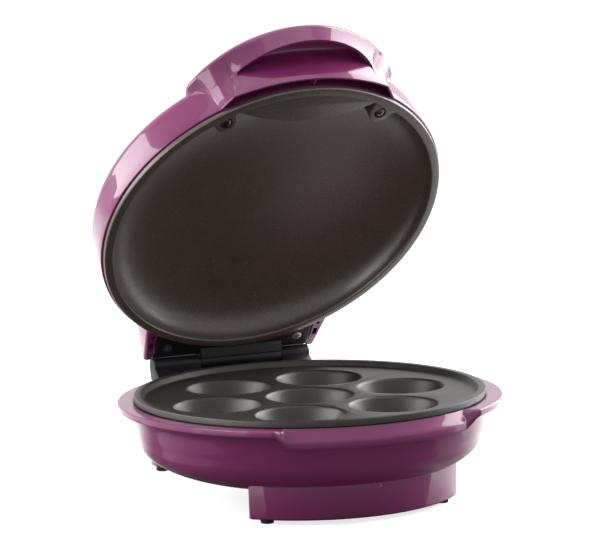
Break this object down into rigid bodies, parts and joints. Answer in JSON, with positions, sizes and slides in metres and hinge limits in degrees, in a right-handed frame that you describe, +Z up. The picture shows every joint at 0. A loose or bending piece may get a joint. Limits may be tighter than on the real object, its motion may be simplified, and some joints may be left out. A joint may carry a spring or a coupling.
{
  "type": "mini cake maker",
  "caption": "Round clamshell mini cake maker: purple footed bowl with a welled non-stick baking plate and a deep domed lid on a rear hinge, standing open.",
  "frame": {"origin": "bottom centre of the bounding box with the lid standing open at its rest angle; the table is z = 0", "axes": "+Z up, -Y towards the user at the handle side, the hinge axis lies along X at the back"},
  "size_m": [0.219, 0.2316, 0.2684],
  "materials": {
    "purple_plastic": "glossy deep purple moulding",
    "non_stick_plate": "cast aluminium under a dark satin non-stick coating",
    "black_plastic": "black satin moulding",
    "pad_rubber": "soft black",
    "steel_fixings": "zinc plated",
    "dark_screws": "blackened steel",
    "element_metal": "heat-darkened sheath",
    "shield_metal": "bright sheet",
    "pale_plastic": "off-white heat-proof moulding",
    "brass_fittings": "dull plated",
    "brown_lead": "brown insulation",
    "blue_lead": "blue insulation",
    "green_lead": "green insulation",
    "fibre_sleeve": "woven glass sleeve",
    "white_lead": "white insulation",
    "lamp_glass": "clear",
    "red_lens": "clear red",
    "green_lens": "clear green"
  },
  "bodies": {
    "base": {"base_housing": "purple_plastic", "bottom_cover": "black_plastic", "bottom_cover_screws": "steel_fixings", "rubber_pads": "pad_rubber", "lower_baking_plate": "non_stick_plate", "lower_heating_element": "element_metal", "element_clips": "steel_fixings", "lower_heat_shield": "shield_metal", "plate_screws": "steel_fixings", "thermostat": "pale_plastic", "thermal_fuse": "brass_fittings", "fuse_clip": "steel_fixings", "terminal_block": "pale_plastic", "live_lead": "brown_lead", "thermostat_leads": "brown_lead", "neutral_lead": "blue_lead", "earth_lead": "green_lead", "lid_lead_lower": "fibre_sleeve", "cord_inlet": "pad_rubber", "cord_clamp": "pale_plastic", "cord_clamp_screws": "steel_fixings", "hinge_bracket": "black_plastic", "hinge_bracket_screws": "steel_fixings", "hinge_sleeve": "steel_fixings", "hinge_pin": "steel_fixings"},
    "lid": {"lid_housing": "purple_plastic", "lid_dish": "non_stick_plate", "dish_screws": "dark_screws", "hinge_tongue": "black_plastic", "hinge_tongue_screws": "steel_fixings", "upper_heating_element": "element_metal", "upper_element_clips": "steel_fixings", "upper_heat_shield": "shield_metal", "upper_shield_screws": "steel_fixings", "lid_lead_upper": "fibre_sleeve", "upper_element_lead": "brown_lead", "indicator_lamps": "lamp_glass", "lamp_leads": "white_lead", "power_lens": "red_lens", "ready_lens": "green_lens"}
  },
  "joints": [
    {"name": "lid_hinge", "type": "hinge", "parent": "base", "child": "lid", "pos_m": [0, 0.102, 0.0618], "axis": [-1, 0, 0], "range_deg": [-52.5, 47.5]}
  ]
}
